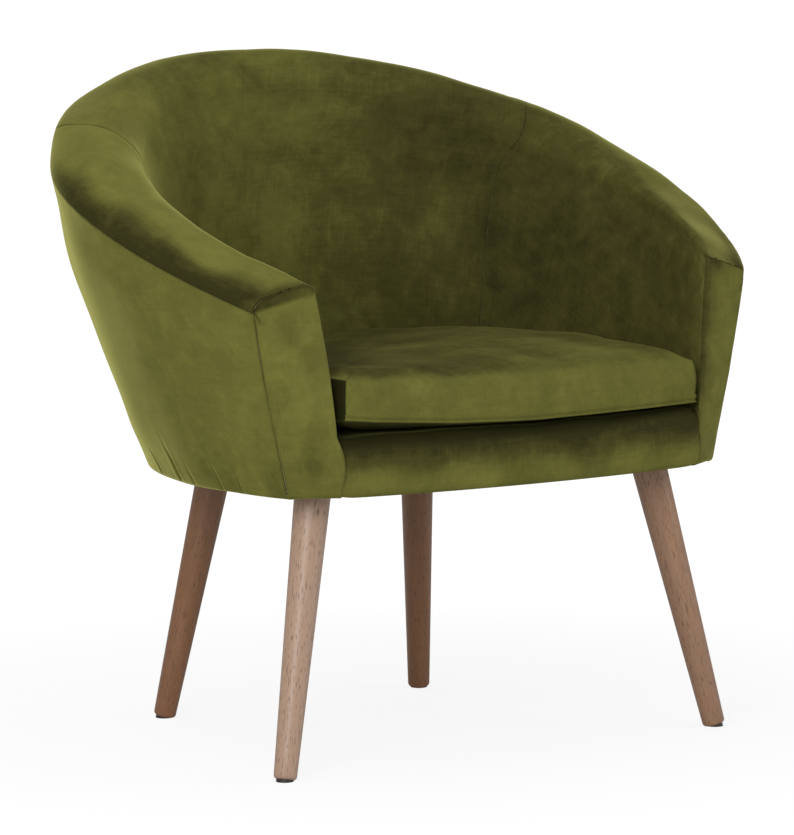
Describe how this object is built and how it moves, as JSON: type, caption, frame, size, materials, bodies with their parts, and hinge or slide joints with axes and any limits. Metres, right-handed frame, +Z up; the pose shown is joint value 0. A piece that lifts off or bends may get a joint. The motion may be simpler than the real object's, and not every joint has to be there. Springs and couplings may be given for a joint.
{
  "type": "tub chair",
  "caption": "Upholstered tub armchair: horseshoe shell with a rolled, sloping rim, loose crowned seat cushion and splayed, tapered round wooden legs.",
  "frame": {"origin": "on the floor under the middle of the chair's box", "axes": "front faces -Y, +X is on the right as seen from the front, up is +Z"},
  "size_m": [0.7818, 0.629, 0.75],
  "materials": {
    "velvet": "olive cut velvet with a short, marked nap",
    "leg_wood": "walnut-stained beech with short dark flecks, satin lacquer",
    "timber": "raw planed hardwood",
    "fibreboard": "raw brown hardboard",
    "foam": "open-cell upholstery foam",
    "webbing": "woven elastic webbing",
    "dust_cloth": "thin black non-woven cloth",
    "zip_tape": "woven zip tape with a coil",
    "glide_plastic": "matte dark plastic",
    "steel": "zinc-plated"
  },
  "bodies": {
    "shell": {"leg_front_left": "leg_wood", "leg_front_right": "leg_wood", "leg_back_left": "leg_wood", "leg_back_right": "leg_wood", "foot_glides": "glide_plastic", "hanger_bolts": "steel", "tee_nuts": "steel", "front_leg_board": "timber", "back_leg_board": "timber", "front_rail": "timber", "side_rail_left": "timber", "side_rail_right": "timber", "back_rail": "timber", "arm_post_left": "timber", "arm_post_right": "timber", "wall_posts": "timber", "arm_top_rail_left": "timber", "arm_top_rail_right": "timber", "back_top_rail": "timber", "tub_liner": "fibreboard", "outside_panel_left": "fibreboard", "outside_panel_right": "fibreboard", "webbing_lengthwise": "webbing", "webbing_crosswise": "webbing", "deck_pad": "foam", "deck_cover": "velvet", "rail_padding": "foam", "rail_cover": "velvet", "back_foam": "foam", "arm_foam_left": "foam", "arm_foam_right": "foam", "rim_roll_back": "foam", "rim_roll_left": "foam", "rim_roll_right": "foam", "facing_pad_left": "foam", "facing_pad_right": "foam", "arm_facing_left": "velvet", "arm_facing_right": "velvet", "outside_cover_left": "velvet", "outside_cover_right": "velvet", "arm_cover_left": "velvet", "arm_cover_right": "velvet", "inside_back_cover": "velvet", "dust_cover": "dust_cloth"},
    "cushion": {"cushion_foam": "foam", "cushion_top_cover": "velvet", "cushion_side_bands": "velvet", "cushion_zip_band": "velvet", "cushion_bottom_cover": "velvet", "cushion_zip": "zip_tape"}
  },
  "joints": [
    {"name": "cushion_lift", "type": "slide", "parent": "shell", "child": "cushion", "axis": [0, 0, 1], "range_m": [0, 0.45]}
  ]
}
